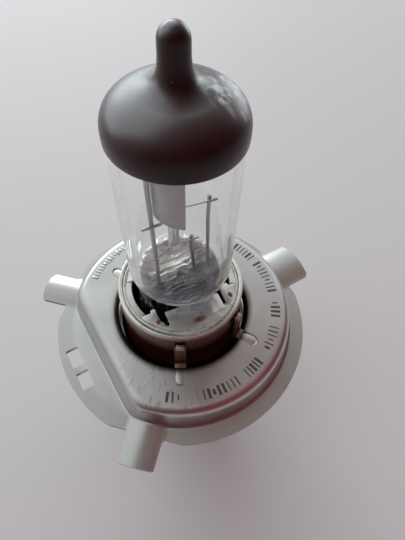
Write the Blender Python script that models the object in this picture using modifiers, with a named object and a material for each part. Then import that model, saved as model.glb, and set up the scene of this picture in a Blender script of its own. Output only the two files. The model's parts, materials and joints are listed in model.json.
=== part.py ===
"""Two-filament headlight bulb with a three-lug flange, built in metres with +Z up.

The bulb axis is Z. The origin is the centre of the terminal insulator's underside, where
the plug seats. +X points to the wide reference lug; the flat side of the boss faces -X.
"""
import math

import bmesh
import bpy
from mathutils import Matrix, Vector

MM = 0.001

# ---------------------------------------------------------------- driving dimensions, in mm
RIM_Z = 17.0              # upper face of the flange rim, above the origin
RIM_RADIUS = 21.5         # the flange is 43 mm across
SHEET = 0.8               # thickness of the flange sheet
BOSS_RADIUS = 19.0        # the boss fits the 38 mm hole of the lamp's holder
BOSS_TOP_RADIUS = 18.35
BOSS_HEIGHT = 4.65        # the plateau stands this far above the rim
BOSS_FLAT = 15.45         # distance from the axis to the flat side's foot
BOSS_FLAT_TOP = 14.5
BOSS_CORNER, BOSS_SHOULDER = 2.2, 1.1
TRIM_FLAT = 20.7          # straight trim of the rim beside each lug
HUB_HOLE_RADIUS = 10.5
LUG_ANGLES = (0.0, 135.0, -135.0)
LUG_WIDTHS = (8.0, 5.5, 5.5)
LUG_REACH = 25.35         # the lug's corners; its rounded end reaches LUG_END_BULGE further
LUG_END_BULGE = 0.33
LUG_ROOT = 18.7           # the lug starts inside the wall of the boss
LUG_ARCH = 0.7
SLOT_ANGLES = (60.0, 120.0, -60.0, -120.0)
SLOT_INNER, SLOT_OUTER, SLOT_WIDTH = 11.0, 14.2, 1.8
TAB_TOP = 9.7             # top of the weld tabs, above the rim
WINDOW_SIZE = (2.0, 3.4)
WINDOW_RADIUS = 19.1
WINDOW_OFFSET = 2.25      # each window's centre from the plane of symmetry

SLEEVE_RADIUS, SLEEVE_WALL = 9.7, 0.4
SLEEVE_TOP, SLEEVE_BOTTOM = 11.8, -6.0
CUP_RADIUS, CUP_WALL = 9.0, 0.4
CUP_FLOOR, CUP_TOP = 10.4, 11.65
CUP_MOUTH_RADIUS, CUP_MOUTH_HALF = 7.75, 5.9
LIP = 0.15                # the rounding of a sheet's turned edge
CLAMP_RADIUS, CLAMP_THICKNESS, CLAMP_Z = 8.25, 0.3, 11.1
CLAMP_EDGE, PRONG_EDGE = 3.3, 3.0              # distances from the press's middle plane
CLAMP_TURN = -7.0         # the springs sit slightly turned from the plane of the press
PRONG_OUTER, PRONG_INNER = 6.4, 5.35
SPRING_SLOT_X, SPRING_SLOT_Y, SPRING_SLOT_HALF = 4.9, -5.5, 0.45

GLASS_RADIUS, GLASS_WALL = 7.45, 1.0
DOME_BASE, DOME_HEIGHT, DOME_POWER, DOME_STEPS = 40.7, 4.15, 2.35, 8
TIP_TOP, TIP_RADIUS = 50.45, 1.28
TIP_FLARE = ((0, 2.0), (0.2, 1.0), (0.65, 0.35))   # (out, up) where the tip spreads into the dome
SHOULDER_Z, SHOULDER_RADIUS = 18.25, 5.0
CAVITY_FLOOR = 14.9
PRESS_HALF_WIDTH, PRESS_HALF_THICKNESS = 6.4, 1.9
PRESS_BOTTOM, PRESS_TOP = 1.5, 15.8            # the cavity trims the top of the press
COAT_GAP, COAT_THICKNESS, COAT_EDGE = 0.1, 0.15, 39.55

COMMON_X, HIGH_X, LOW_X = -3.85, 1.9, 4.6      # the three posts, in the plane Y = 0
POST_RADIUS = 0.3
POST_BOTTOM = 11.2
COMMON_TOP, HIGH_TOP, LOW_TOP = 38.5, 22.6, 29.2
FOIL_SIZE = (1.9, 0.1, 7.0)
FOIL_CENTRE_Z = 7.2
CHANNEL_RADIUS, CHANNEL_TOP = 0.62, 16.5
FOIL_CHANNEL = (2.3, 0.7, 7.6)

COIL_X, COIL_RADIUS, COIL_WIRE = -0.5, 0.6, 0.14
HIGH_COIL, HIGH_TURNS = (22.7, 27.0), 8        # bottom and top
LOW_COIL, LOW_TURNS = (29.6, 35.0), 10
BAR_RADIUS = 0.2
CROSSBARS = {             # name: (start x, end x, z)
    "high_beam_upper_crossbar": (-5.0, -1.5, 27.6),
    "high_beam_lower_crossbar": (0.5, 2.9, 22.0),
    "low_beam_lower_crossbar": (0.5, 5.5, 28.4),
}
HIDDEN_BAR = (-2.6, 0.9, 35.6)                 # the low beam's upper bar, above its coil
SHIELD_RADIUS, SHIELD_SHEET, SHIELD_X = 2.35, 0.25, -0.8
SHIELD_BOTTOM, SHIELD_TOP, SHIELD_DOME = 28.65, 36.2, 1.8
SHIELD_CLOSING = 67.0     # degrees through which the shield's upper end curves in

SHELL_RADIUS, SHELL_WALL = 10.5, 0.5
SHELL_TOP, SHELL_BOTTOM = 1.6, -15.4
INSULATOR_RADIUS, INSULATOR_LIP_RADIUS = 9.7, 8.9
INSULATOR_TOP, INSULATOR_STEP = -10.6, -14.6
BLADE_WIDTH, BLADE_THICKNESS, BLADE_OFFSET = 8.0, 0.8, 6.3
BLADE_NECK = 0.6          # a blade is thinner where the insulator holds it
BLADE_BOTTOM, BLADE_SHOULDER, BLADE_TAB_TOP = -29.3, -9.6, -5.6
BLADE_TAB_WIDTH, BLADE_TIP = 3.0, 1.2
LEAD_RADIUS = 0.35
LEAD_OVERLAP = 2.6        # how far a lead runs down beside its blade's tab
GAP = 0.3

COLOURS = {
    # name: (red, green, blue, alpha), roughness, metallic
    "stainless": ((0.60, 0.59, 0.58, 1), 0.38, 1.0),
    "nickel_steel": ((0.62, 0.57, 0.50, 1), 0.30, 1.0),
    "quartz_glass": ((0.92, 0.95, 0.94, 0.3), 0.03, 0.0),
    "dark_coating": ((0.055, 0.045, 0.045, 1), 0.55, 0.0),
    "molybdenum": ((0.42, 0.42, 0.43, 1), 0.42, 1.0),
    "tungsten": ((0.30, 0.30, 0.31, 1), 0.35, 1.0),
    "insulator_grey": ((0.16, 0.16, 0.17, 1), 0.60, 0.0),
    "plated_brass": ((0.70, 0.67, 0.60, 1), 0.32, 1.0),
}


# ---------------------------------------------------------------- scene and helpers
for old in list(bpy.data.objects):
    bpy.data.objects.remove(old, do_unlink=True)

PARTS = bpy.data.collections.new("headlight_bulb")
CUTTERS = bpy.data.collections.new("cutters")
for collection in (PARTS, CUTTERS):
    bpy.context.scene.collection.children.link(collection)


def make_material(name):
    colour, roughness, metallic = COLOURS[name]
    material = bpy.data.materials.new(name)
    material.use_nodes = True
    shader = material.node_tree.nodes["Principled BSDF"]
    shader.inputs["Base Color"].default_value = (*colour[:3], 1)
    shader.inputs["Roughness"].default_value = roughness
    shader.inputs["Metallic"].default_value = metallic
    shader.inputs["Alpha"].default_value = colour[3]
    return material


MATERIALS = {name: make_material(name) for name in COLOURS}


def at(x, y, z):
    """A point given in mm, with z above the rim, in metres above the origin."""
    return Vector((x * MM, y * MM, (z + RIM_Z) * MM))


def turn(degrees):
    return Matrix.Rotation(math.radians(degrees), 4, "Z")


def add(name, data, material=None):
    """Put data in the scene: a part if it has a material, a cutter if not."""
    thing = bpy.data.objects.new(name, data)
    if material:
        data.materials.append(MATERIALS[material])
        PARTS.objects.link(thing)
        if isinstance(data, bpy.types.Mesh):
            data.shade_smooth()
            data.set_sharp_from_angle(angle=math.radians(35))
    else:
        CUTTERS.objects.link(thing)
        thing.hide_render = True
        thing.display_type = "WIRE"
    return thing


def add_bmesh(name, bm, material=None):
    bmesh.ops.recalc_face_normals(bm, faces=bm.faces)
    mesh = bpy.data.meshes.new(name)
    bm.to_mesh(mesh)
    bm.free()
    return add(name, mesh, material)


def box(name, low, high, material=None, turned=0.0):
    """A box between two corners in mm, turned about the bulb axis."""
    bm = bmesh.new()
    size = Vector(high) - Vector(low)
    middle = (Vector(high) + Vector(low)) / 2
    place = turn(turned) @ Matrix.Translation(at(*middle))
    bmesh.ops.create_cube(bm, size=1, matrix=place @ Matrix.Diagonal((*(size * MM), 1)))
    return add_bmesh(name, bm, material)


def cylinder(name, radius, bottom, top, x=0.0, y=0.0, segments=16, material=None):
    bm = bmesh.new()
    place = Matrix.Translation(at(x, y, (bottom + top) / 2))
    bmesh.ops.create_cone(bm, cap_ends=True, segments=segments, radius1=radius * MM,
                          radius2=radius * MM, depth=(top - bottom) * MM, matrix=place)
    return add_bmesh(name, bm, material)


def turned_part(name, profile, steps, material=None):
    """A solid of revolution: the profile's points (radius, z) run down the outer side."""
    mesh = bpy.data.meshes.new(name)
    points = [at(radius, 0, z) for radius, z in profile]
    edges = [(i, i + 1) for i in range(len(points) - 1)]
    on_axis = profile[0][0] == 0 and profile[-1][0] == 0
    if not on_axis:
        edges.append((len(points) - 1, 0))
    mesh.from_pydata(points, edges, [])
    thing = add(name, mesh, material)
    screw = thing.modifiers.new("turn", "SCREW")
    screw.steps = screw.render_steps = steps
    screw.use_merge_vertices = True
    screw.merge_threshold = 1e-6
    screw.use_normal_calculate = False
    return thing


def boolean(target, tool, operation="DIFFERENCE"):
    """Cut the tool from the target, or join it to the target."""
    modifier = target.modifiers.new(tool.name, "BOOLEAN")
    modifier.operation = operation
    modifier.solver = "EXACT"
    modifier.object = tool


def flat_piece(name, outline, thickness, place, material=None):
    """A flat piece: its outline, (x, y) in mm, is filled and made as thick as asked."""
    curve = bpy.data.curves.new(name, "CURVE")
    curve.dimensions = "2D"
    curve.fill_mode = "BOTH"
    curve.extrude = thickness / 2 * MM
    spline = curve.splines.new("POLY")
    spline.use_cyclic_u = True
    spline.points.add(len(outline) - 1)
    for point, (x, y) in zip(spline.points, outline):
        point.co = (x * MM, y * MM, 0, 1)
    source = bpy.data.objects.new(name, curve)
    CUTTERS.objects.link(source)
    bpy.context.view_layer.update()
    depsgraph = bpy.context.evaluated_depsgraph_get()
    mesh = bpy.data.meshes.new_from_object(source.evaluated_get(depsgraph))
    bpy.data.objects.remove(source)
    bm = bmesh.new()
    bm.from_mesh(mesh)
    bpy.data.meshes.remove(mesh)
    bmesh.ops.remove_doubles(bm, verts=bm.verts, dist=1e-7)
    bmesh.ops.transform(bm, matrix=place, verts=bm.verts)
    return add_bmesh(name, bm, material)


def prism(name, outline, bottom, top, turned=0.0, material=None):
    """A flat piece that lies level, from bottom to top, turned about the bulb axis."""
    place = turn(turned) @ Matrix.Translation(at(0, 0, (bottom + top) / 2))
    return flat_piece(name, outline, top - bottom, place, material)


def sheet(name, shape, across, along, thickness, material=None):
    """A curved sheet: shape(u, v), with u from -1 to 1 and v from 0 to 1, gives its points."""
    bm = bmesh.new()
    bmesh.ops.create_grid(bm, x_segments=across, y_segments=along, size=1)
    for vert in bm.verts:
        vert.co = shape(vert.co.x, (vert.co.y + 1) / 2)
    thing = add_bmesh(name, bm, material)
    solidify = thing.modifiers.new("sheet", "SOLIDIFY")
    solidify.thickness = thickness * MM
    solidify.offset = -1
    return thing


def wire(name, points, radius, material):
    """A round wire through points in mm, with closed ends."""
    curve = bpy.data.curves.new(name, "CURVE")
    curve.dimensions = "3D"
    curve.bevel_depth = radius * MM
    curve.bevel_resolution = 2
    curve.use_fill_caps = True
    spline = curve.splines.new("POLY")
    spline.points.add(len(points) - 1)
    for point, place in zip(spline.points, points):
        point.co = (*at(*place), 1)
    return add(name, curve, material)


def arc(centre, radius, start, end, count):
    """Points (x, y) in mm on an arc between two angles in degrees."""
    angles = [math.radians(start + (end - start) * i / count) for i in range(count + 1)]
    return [(centre[0] + radius * math.cos(a), centre[1] + radius * math.sin(a)) for a in angles]


# ---------------------------------------------------------------- flange ring
def trim(bm, point, normal):
    """Cut a closed mesh with a plane, and close it again."""
    geometry = bm.verts[:] + bm.edges[:] + bm.faces[:]
    cut = bmesh.ops.bisect_plane(bm, geom=geometry, plane_co=point, plane_no=normal,
                                 clear_outer=True)["geom_cut"]
    bmesh.ops.holes_fill(bm, edges=[part for part in cut if isinstance(part, bmesh.types.BMEdge)])


def boss(name, inset, bottom, material=None):
    """The boss: a cone with one flat side, rounded at its corners and shoulder."""
    bm = bmesh.new()
    top = BOSS_HEIGHT - inset
    slope = (BOSS_RADIUS - BOSS_TOP_RADIUS) / BOSS_HEIGHT
    bmesh.ops.create_cone(
        bm, cap_ends=True, segments=72,
        radius1=(BOSS_RADIUS - inset - slope * bottom) * MM,
        radius2=(BOSS_RADIUS - inset - slope * top) * MM,
        depth=(top - bottom) * MM, matrix=Matrix.Translation(at(0, 0, (top + bottom) / 2)))
    lean = (BOSS_FLAT - BOSS_FLAT_TOP) / BOSS_HEIGHT
    trim(bm, at(-BOSS_FLAT + inset, 0, 0), Vector((-1, 0, lean)).normalized())
    top_z = at(0, 0, top).z
    upright = [edge for edge in bm.edges
               if abs(edge.verts[0].co.z - edge.verts[1].co.z) > MM
               and edge.calc_face_angle(0) > math.radians(20)]
    bmesh.ops.bevel(bm, geom=upright, offset=BOSS_CORNER * MM, segments=3, profile=0.5, affect="EDGES")
    shoulder = [edge for edge in bm.edges
                if all(abs(vert.co.z - top_z) < 1e-6 for vert in edge.verts)
                and any(abs(face.normal.z) < 0.9 for face in edge.link_faces)]
    bmesh.ops.bevel(bm, geom=shoulder, offset=BOSS_SHOULDER * MM, segments=3, profile=0.5, affect="EDGES")
    return add_bmesh(name, bm, material)


def rim_disc(name):
    """The flat rim, trimmed straight on both sides of each lug."""
    bm = bmesh.new()
    bmesh.ops.create_cone(bm, cap_ends=True, segments=72, radius1=RIM_RADIUS * MM,
                          radius2=RIM_RADIUS * MM, depth=SHEET * MM,
                          matrix=Matrix.Translation(at(0, 0, -SHEET / 2)))
    for angle in LUG_ANGLES:
        outward = turn(angle) @ Vector((1, 0, 0))
        trim(bm, outward * TRIM_FLAT * MM, outward)
    return add_bmesh(name, bm)


def lug(name, angle, width):
    """An arched lug: a sheet bent across its width, with a slightly rounded end."""
    def shape(side, out):
        crown = 1 - side * side
        reach = LUG_REACH + LUG_END_BULGE * crown
        spot = at(LUG_ROOT + (reach - LUG_ROOT) * out, side * width / 2, LUG_ARCH * crown)
        return turn(angle) @ spot

    return sheet(name, shape, across=8, along=4, thickness=SHEET)


def make_flange():
    flange = boss("flange_ring", 0, -SHEET / 2, "stainless")
    boolean(flange, rim_disc("rim"), "UNION")
    for i, (angle, width) in enumerate(zip(LUG_ANGLES, LUG_WIDTHS)):
        boolean(flange, lug(f"lug_{i}", angle, width), "UNION")
    boolean(flange, boss("boss_hollow", SHEET, -2 * SHEET))
    boolean(flange, cylinder("hub_hole", HUB_HOLE_RADIUS, 0, 2 * BOSS_HEIGHT, segments=48))
    half = SLOT_WIDTH / 2
    for i, angle in enumerate(SLOT_ANGLES):
        outline = arc((SLOT_OUTER - half, 0), half, -90, 90, 6)
        outline += arc((SLOT_INNER + half, 0), half, 90, 270, 6)
        boolean(flange, prism(f"slot_{i}", outline, 2, 2 * BOSS_HEIGHT, turned=angle))
        tab = box(f"tab_{i}", (SLEEVE_RADIUS + GAP + 0.05, -half, BOSS_HEIGHT - SHEET + 0.1),
                  (HUB_HOLE_RADIUS + 0.25, half, TAB_TOP), turned=angle)
        boolean(flange, tab, "UNION")
    for side in (-1, 1):
        window = box(f"window_{side}",
                     (-WINDOW_RADIUS - WINDOW_SIZE[0] / 2,
                      side * WINDOW_OFFSET - WINDOW_SIZE[1] / 2, -2),
                     (-WINDOW_RADIUS + WINDOW_SIZE[0] / 2,
                      side * WINDOW_OFFSET + WINDOW_SIZE[1] / 2, 1))
        boolean(flange, window)


# ---------------------------------------------------------------- sleeve, cup and clamp plate
def make_sleeve():
    outer, inner = SLEEVE_RADIUS, SLEEVE_RADIUS - SLEEVE_WALL
    turned_part("sleeve", [
        (outer - LIP, SLEEVE_TOP), (outer, SLEEVE_TOP - LIP), (outer, SLEEVE_BOTTOM),
        (inner, SLEEVE_BOTTOM), (inner, SLEEVE_TOP - LIP), (inner + LIP, SLEEVE_TOP)],
        48, "nickel_steel")


def make_cup():
    outer, inner = CUP_RADIUS, CUP_RADIUS - CUP_WALL
    cup = turned_part("holder_cup", [
        (0, CUP_FLOOR + CUP_WALL), (inner - 0.1, CUP_FLOOR + CUP_WALL),
        (inner, CUP_FLOOR + CUP_WALL + 0.1), (inner, CUP_TOP - 0.1), (inner + 0.1, CUP_TOP),
        (outer - 0.1, CUP_TOP), (outer, CUP_TOP - 0.1), (outer, CUP_FLOOR + 0.2),
        (outer - 0.2, CUP_FLOOR), (0, CUP_FLOOR)], 48, "stainless")
    angle = math.degrees(math.asin(CUP_MOUTH_HALF / CUP_MOUTH_RADIUS))
    mouth = arc((0, 0), CUP_MOUTH_RADIUS, -angle, angle, 8)
    mouth += arc((0, 0), CUP_MOUTH_RADIUS, 180 - angle, 180 + angle, 8)
    boolean(cup, prism("cup_mouth", mouth, CUP_FLOOR - 1, CUP_TOP + 1))


def make_clamp_springs():
    """A spring plate on each side of the press: a broad middle prong, two narrow ones beside it."""
    end = math.degrees(math.asin(CLAMP_EDGE / CLAMP_RADIUS))
    slot = arc((0, SPRING_SLOT_Y), SPRING_SLOT_HALF, 180, 360, 6)
    broad = SPRING_SLOT_X - SPRING_SLOT_HALF
    outline = [(-PRONG_OUTER, -CLAMP_EDGE), (-PRONG_OUTER, -PRONG_EDGE), (-PRONG_INNER, -PRONG_EDGE)]
    outline += [(x - SPRING_SLOT_X, y) for x, y in slot] + [(-broad, -CLAMP_EDGE), (broad, -CLAMP_EDGE)]
    outline += [(x + SPRING_SLOT_X, y) for x, y in slot]
    outline += [(PRONG_INNER, -PRONG_EDGE), (PRONG_OUTER, -PRONG_EDGE), (PRONG_OUTER, -CLAMP_EDGE)]
    outline += arc((0, 0), CLAMP_RADIUS, -end, end - 180, 20)
    for name, angle in (("clamp_spring_front", 0), ("clamp_spring_back", 180)):
        prism(name, outline, CLAMP_Z, CLAMP_Z + CLAMP_THICKNESS, angle + CLAMP_TURN, "stainless")


# ---------------------------------------------------------------- glass and coating
def dome_arc(radius, height, steps):
    """Points of the dome's curve, a superellipse between a circle and a square."""
    points = []
    for i in steps:
        angle = math.radians(90 * i / DOME_STEPS)
        reach = math.sin(angle) ** (2 / DOME_POWER)
        lift = max(0.0, math.cos(angle)) ** (2 / DOME_POWER)
        points.append((radius * reach, DOME_BASE + height * lift))
    return points


def dome_profile(offset, edge, tip_radius, tip_top):
    """The outline of dome and tip, from the top down, at an offset outside the glass."""
    radius = GLASS_RADIUS + offset
    height = DOME_HEIGHT + offset
    outline = [(0, tip_top)]
    for i in range(1, 4):
        angle = math.radians(90 - 30 * i)
        outline.append((tip_radius * math.cos(angle),
                        tip_top - tip_radius * (1 - math.sin(angle))))
    top = DOME_BASE + height
    outline += [(tip_radius + out, top + rise) for out, rise in TIP_FLARE]
    outline += dome_arc(radius, height, range(2, DOME_STEPS + 1))
    outline.append((radius, edge))
    return outline


def shoulder_profile(radius, middle_z, count=5):
    """The quarter arc where the tube turns in to the press, from the tube inwards."""
    centre = GLASS_RADIUS - SHOULDER_RADIUS
    return [(centre + radius * math.cos(a), middle_z - radius * math.sin(a))
            for a in (math.radians(90 * i / count) for i in range(1, count + 1))]


def make_glass():
    outline = dome_profile(0, SHOULDER_Z, TIP_RADIUS, TIP_TOP)
    outline += shoulder_profile(SHOULDER_RADIUS, SHOULDER_Z)
    outline.append((0, SHOULDER_Z - SHOULDER_RADIUS))
    glass = turned_part("glass_envelope", outline, 40, "quartz_glass")
    boolean(glass, box("press", (-PRESS_HALF_WIDTH, -PRESS_HALF_THICKNESS, PRESS_BOTTOM),
                       (PRESS_HALF_WIDTH, PRESS_HALF_THICKNESS, PRESS_TOP)), "UNION")
    inner_radius = GLASS_RADIUS - GLASS_WALL
    bend = SHOULDER_RADIUS - GLASS_WALL
    inner_height = DOME_HEIGHT - GLASS_WALL
    cavity = [(0, DOME_BASE + inner_height)]
    cavity += dome_arc(inner_radius, inner_height, range(2, DOME_STEPS + 1))
    cavity.append((inner_radius, CAVITY_FLOOR + bend))
    cavity += shoulder_profile(bend, CAVITY_FLOOR + bend)
    cavity.append((0, CAVITY_FLOOR))
    boolean(glass, turned_part("cavity", cavity, 40))
    for i, x in enumerate((COMMON_X, HIGH_X, LOW_X)):
        channel = cylinder(f"channel_{i}", CHANNEL_RADIUS, PRESS_BOTTOM - 1, CHANNEL_TOP, x=x,
                           segments=12)
        boolean(glass, channel)
        width, depth, height = FOIL_CHANNEL
        boolean(glass, box(f"foil_channel_{i}",
                           (x - width / 2, -depth / 2, FOIL_CENTRE_Z - height / 2),
                           (x + width / 2, depth / 2, FOIL_CENTRE_Z + height / 2)))


def make_coating():
    """The opaque coating over dome and tip: a thin skin, open at its lower edge."""
    outside = COAT_GAP + COAT_THICKNESS
    outer = dome_profile(outside, COAT_EDGE, TIP_RADIUS + outside, TIP_TOP + outside)
    inner = dome_profile(COAT_GAP, COAT_EDGE, TIP_RADIUS + COAT_GAP, TIP_TOP + COAT_GAP)
    turned_part("top_coating", outer + inner[::-1], 40, "dark_coating")


# ---------------------------------------------------------------- posts, foils and filaments
def make_posts():
    tops = {"common_post": (COMMON_X, COMMON_TOP), "high_beam_post": (HIGH_X, HIGH_TOP),
            "low_beam_post": (LOW_X, LOW_TOP)}
    for name, (x, top) in tops.items():
        cylinder(name, POST_RADIUS, POST_BOTTOM, top, x=x, segments=10, material="molybdenum")
        foil = name.replace("post", "foil")
        width, depth, height = FOIL_SIZE
        box(foil, (x - width / 2, -depth / 2, FOIL_CENTRE_Z - height / 2),
            (x + width / 2, depth / 2, FOIL_CENTRE_Z + height / 2), "molybdenum")


def helix(bottom, top, turns, per_turn=8):
    """Points of a filament coil, with a straight tail at each end."""
    count = turns * per_turn
    return [(COIL_X + COIL_RADIUS * math.cos(2 * math.pi * i / per_turn),
             COIL_RADIUS * math.sin(2 * math.pi * i / per_turn),
             bottom + (top - bottom) * i / count) for i in range(count + 1)]


def make_filaments():
    wire("high_beam_filament", helix(*HIGH_COIL, HIGH_TURNS), COIL_WIRE, "tungsten")
    wire("low_beam_filament", helix(*LOW_COIL, LOW_TURNS), COIL_WIRE, "tungsten")


def make_crossbars():
    """Short bars in front of the posts, which carry the ends of the filaments."""
    front = -(POST_RADIUS + GAP + BAR_RADIUS)
    for name, (start, end, z) in CROSSBARS.items():
        wire(name, [(start, front, z), (end, front, z)], BAR_RADIUS, "molybdenum")
    start, end, z = HIDDEN_BAR
    wire("low_beam_upper_crossbar", [(start, 0, z), (end, 0, z)], BAR_RADIUS, "molybdenum")


def make_shield():
    """The glare shield: half a cup, closed towards the dome and open towards +X."""
    straight = (SHIELD_TOP - SHIELD_BOTTOM) / (SHIELD_TOP - SHIELD_BOTTOM + SHIELD_DOME)

    def shape(side, up):
        angle = math.radians(180 + 90 * side)
        if up <= straight:
            lift, z = 0.0, SHIELD_BOTTOM + (SHIELD_TOP - SHIELD_BOTTOM) * up / straight
        else:
            lift = math.radians(SHIELD_CLOSING) * (up - straight) / (1 - straight)
            z = SHIELD_TOP + SHIELD_DOME * math.sin(lift)
        radius = SHIELD_RADIUS * math.cos(lift)
        return at(SHIELD_X + radius * math.cos(angle), radius * math.sin(angle), z)

    sheet("glare_shield", shape, across=12, along=8, thickness=SHIELD_SHEET,
          material="molybdenum")


# ---------------------------------------------------------------- base, insulator and blades
def make_shell():
    outer, inner = SHELL_RADIUS, SHELL_RADIUS - SHELL_WALL
    turned_part("base_shell", [
        (outer + 0.5, SHELL_TOP), (outer + 0.5, SHELL_TOP - 0.5), (outer, SHELL_TOP - 1.0),
        (outer, SHELL_BOTTOM + 0.5), (outer - 0.5, SHELL_BOTTOM),
        (INSULATOR_LIP_RADIUS + GAP, SHELL_BOTTOM),
        (INSULATOR_LIP_RADIUS + GAP, SHELL_BOTTOM + 0.5), (inner, SHELL_BOTTOM + 0.5),
        (inner, SHELL_TOP)], 48, "stainless")


BLADES = (("high_beam_blade", -90), ("common_blade", 90), ("low_beam_blade", 0))


def make_insulator():
    insulator = turned_part("terminal_insulator", [
        (0, INSULATOR_TOP), (INSULATOR_RADIUS - 0.4, INSULATOR_TOP),
        (INSULATOR_RADIUS, INSULATOR_TOP - 0.4), (INSULATOR_RADIUS, INSULATOR_STEP),
        (INSULATOR_LIP_RADIUS, INSULATOR_STEP), (INSULATOR_LIP_RADIUS, -RIM_Z),
        (0, -RIM_Z)], 48, "insulator_grey")
    half_width = BLADE_WIDTH / 2 + GAP
    half_depth = BLADE_THICKNESS / 2 + GAP
    for name, angle in BLADES:
        boolean(insulator, box(f"{name}_slot", (BLADE_OFFSET - half_depth, -half_width, -RIM_Z - 2),
                               (BLADE_OFFSET + half_depth, half_width, INSULATOR_TOP + 2),
                               turned=angle))


def make_blades():
    """Flat blades with tapered tips, and a narrow tab inside for the lead."""
    half, tab = BLADE_WIDTH / 2, BLADE_TAB_WIDTH / 2
    outline = [(-half, BLADE_SHOULDER), (-tab, BLADE_SHOULDER), (-tab, BLADE_TAB_TOP),
               (tab, BLADE_TAB_TOP), (tab, BLADE_SHOULDER), (half, BLADE_SHOULDER),
               (half, BLADE_BOTTOM + BLADE_TIP), (half - BLADE_TIP, BLADE_BOTTOM),
               (-half + BLADE_TIP, BLADE_BOTTOM), (-half, BLADE_BOTTOM + BLADE_TIP)]
    for name, angle in BLADES:
        upright = Matrix(((0, 0, 1, 0), (1, 0, 0, 0), (0, 1, 0, 0), (0, 0, 0, 1)))
        place = turn(angle) @ Matrix.Translation(at(BLADE_OFFSET, 0, 0)) @ upright
        blade = flat_piece(name, outline, BLADE_THICKNESS, place, "plated_brass")
        for side in (-1, 1):
            near = BLADE_OFFSET + side * BLADE_NECK / 2
            boolean(blade, box(f"{name}_neck_{side}", (min(near, near + side), -half - 1, -RIM_Z - GAP),
                               (max(near, near + side), half + 1, BLADE_TAB_TOP + 1), turned=angle))


def make_leads():
    """Wires from the foils' lower ends, out of the press and down to the blades' tabs."""
    top = FOIL_CENTRE_Z - FOIL_SIZE[2] / 2 - GAP
    near = BLADE_OFFSET - BLADE_THICKNESS / 2 - GAP - LEAD_RADIUS
    foot = BLADE_TAB_TOP - LEAD_OVERLAP
    knee = PRESS_BOTTOM - 1.2
    wire("common_lead", [(COMMON_X, 0, top), (COMMON_X, 0, knee), (-2.6, near * 0.6, -2.5),
                         (-1.0, near, BLADE_TAB_TOP + 0.6), (-0.9, near, foot)],
         LEAD_RADIUS, "molybdenum")
    wire("high_beam_lead", [(HIGH_X, 0, top), (HIGH_X, 0, knee), (1.5, -near * 0.6, -2.5),
                            (0.9, -near, BLADE_TAB_TOP + 0.6), (0.8, -near, foot)],
         LEAD_RADIUS, "molybdenum")
    wire("low_beam_lead", [(LOW_X, 0, top), (LOW_X, 0, knee), (near, 0, BLADE_TAB_TOP + 0.6),
                           (near, 0, foot)], LEAD_RADIUS, "molybdenum")


make_flange()
make_sleeve()
make_cup()
make_clamp_springs()
make_glass()
make_coating()
make_posts()
make_filaments()
make_crossbars()
make_shield()
make_shell()
make_insulator()
make_blades()
make_leads()
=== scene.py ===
"""The looks of a two-filament headlight bulb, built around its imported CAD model.

Every length below is in millimetres unless its name says otherwise. Heights are measured from
the upper face of the flange rim, and +X points to the wide reference lug.
"""
import json
import math
import random

import bmesh
import bpy
from mathutils import Matrix, Vector


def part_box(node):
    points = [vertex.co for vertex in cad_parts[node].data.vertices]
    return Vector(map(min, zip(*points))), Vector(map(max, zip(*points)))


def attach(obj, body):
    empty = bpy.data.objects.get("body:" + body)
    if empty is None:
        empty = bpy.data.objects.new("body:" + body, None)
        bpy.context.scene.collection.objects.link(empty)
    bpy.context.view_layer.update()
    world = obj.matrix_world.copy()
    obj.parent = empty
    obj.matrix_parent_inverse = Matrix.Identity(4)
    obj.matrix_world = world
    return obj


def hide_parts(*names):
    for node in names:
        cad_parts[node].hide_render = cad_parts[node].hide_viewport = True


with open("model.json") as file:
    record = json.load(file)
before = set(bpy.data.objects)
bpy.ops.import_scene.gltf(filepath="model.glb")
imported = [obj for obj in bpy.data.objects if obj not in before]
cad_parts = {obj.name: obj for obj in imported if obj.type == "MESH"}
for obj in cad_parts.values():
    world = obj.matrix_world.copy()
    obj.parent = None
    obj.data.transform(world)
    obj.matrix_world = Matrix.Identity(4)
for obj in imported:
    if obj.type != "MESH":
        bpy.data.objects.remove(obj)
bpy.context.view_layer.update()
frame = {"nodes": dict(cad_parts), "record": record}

MM = 0.001
MOUNTS = {mount["name"]: Vector(mount["pos_m"]) for mount in frame["record"]["mounts"]}
RIM_Z = MOUNTS["reflector_seat"].z          # metres, above the frame's origin
RIM = RIM_Z / MM                            # the same in mm, for the materials


def extent(node):
    """(lowest corner, highest corner) of a CAD node in mm, with z from the rim's upper face."""
    low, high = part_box(node)
    lift = Vector((0, 0, RIM_Z))
    return (low - lift) / MM, (high - lift) / MM


def middle_x(node):
    low, high = extent(node)
    return (low.x + high.x) / 2


# ---------------------------------------------------------------- sizes
RIM_RADIUS = extent("flange_ring")[1].y
LUG_END = extent("flange_ring")[1].x
SHEET = 0.8
SHEET_REACH = 27.5                          # the sheet is made this wide and then trimmed
BOSS_RADIUS, BOSS_TOP_RADIUS, BOSS_HEIGHT = 19.0, 18.3, 4.65
BOSS_FLAT, BOSS_FLAT_TOP = 15.5, 14.3
FLAT_BLEND = -40.0                          # how sharply the flat meets the round wall
TRIM_FLAT = 20.7
SHOULDER_ROUND, FOOT_ROUND = 1.5, 0.45
HUB_HOLE, HUB_ROLL = 10.5, 1.1
LUGS = ((0.0, 8.0), (135.0, 5.5), (-135.0, 5.5))        # (degrees, width)
LUG_ARCH, LUG_END_BULGE = 0.72, 0.33
ARCH_SHOULDER, ARCH_TAIL = 0.85, 0.3265     # in half widths: where the arch eases out, and how far
SLOT_ANGLES = (60.0, 120.0, -60.0, -120.0)
SLOT_INNER, SLOT_OUTER, SLOT_WIDTH = 11.0, 14.2, 1.8
WINDOW_X = (-20.1, -18.1)
WINDOW_Y = ((0.6, 4.15), (-3.6, -0.5))
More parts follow.
